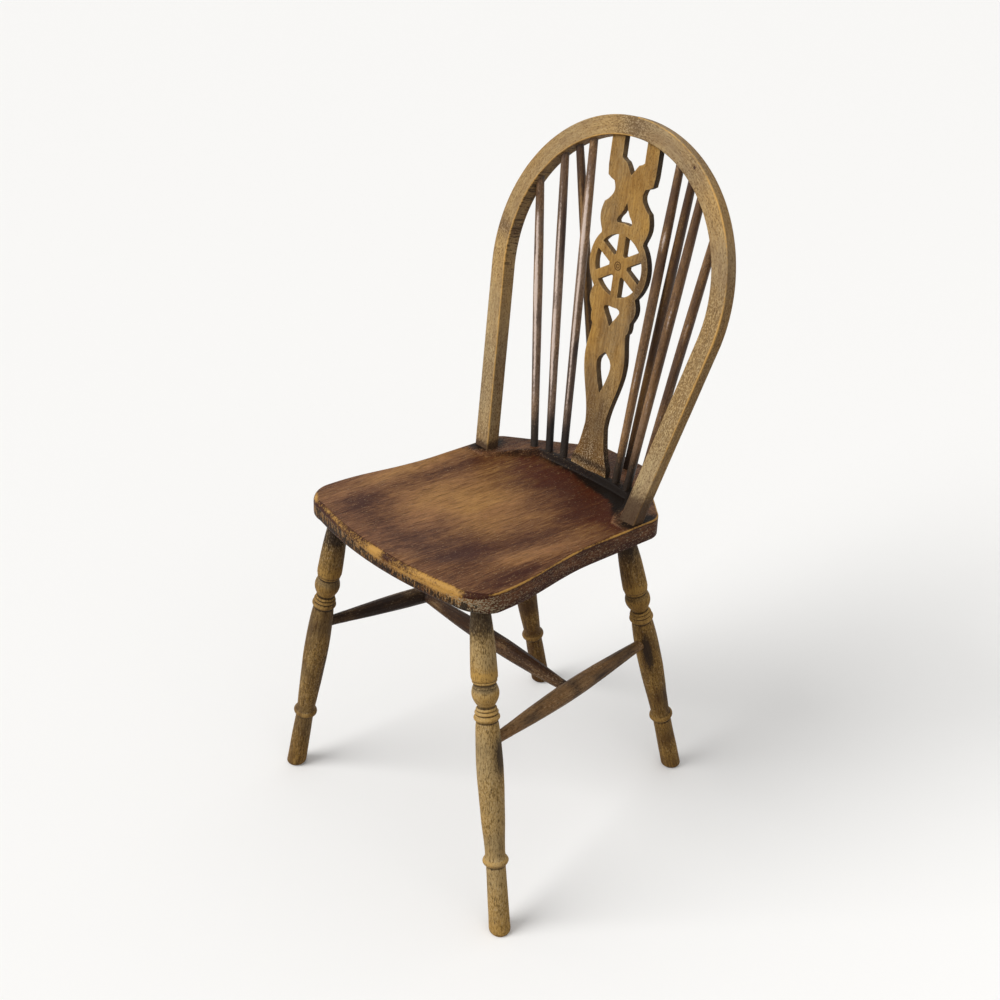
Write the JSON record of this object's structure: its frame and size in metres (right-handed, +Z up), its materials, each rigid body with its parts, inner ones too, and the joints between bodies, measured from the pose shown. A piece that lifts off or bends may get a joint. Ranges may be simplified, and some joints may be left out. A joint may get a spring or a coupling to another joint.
{
  "type": "side chair",
  "caption": "Wooden side chair with a bent bow back, a pierced wheel splat, thin spindles, two tail braces and turned legs, worn down to bare wood.",
  "frame": {"origin": "on the floor, under the middle of the chair's bounding box", "axes": "+Z up, -Y towards the front of the seat, +X to the right when the chair is seen from its front"},
  "size_m": [0.4684, 0.4525, 0.9006],
  "materials": {
    "bow_wood": "worn dry wood",
    "splat_wood": "worn dry wood",
    "seat_wood": "worn satin wood",
    "spindle_wood": "worn satin wood",
    "brace_wood": "worn satin wood",
    "leg_wood": "worn dry wood",
    "stretcher_wood": "worn satin wood",
    "wedge_wood": "dry wood",
    "nail_iron": "rusted"
  },
  "bodies": {
    "root": {"seat": "seat_wood", "bow": "bow_wood", "splat": "splat_wood", "spindle_1": "spindle_wood", "spindle_2": "spindle_wood", "spindle_3": "spindle_wood", "spindle_4": "spindle_wood", "spindle_5": "spindle_wood", "spindle_6": "spindle_wood", "brace_left": "brace_wood", "brace_right": "brace_wood", "leg_front_left": "leg_wood", "leg_front_right": "leg_wood", "leg_back_left": "leg_wood", "leg_back_right": "leg_wood", "stretcher_left": "stretcher_wood", "stretcher_right": "stretcher_wood", "stretcher_middle": "stretcher_wood", "bow_wedge_left": "wedge_wood", "bow_wedge_right": "wedge_wood", "bow_nail": "nail_iron"}
  },
  "joints": []
}
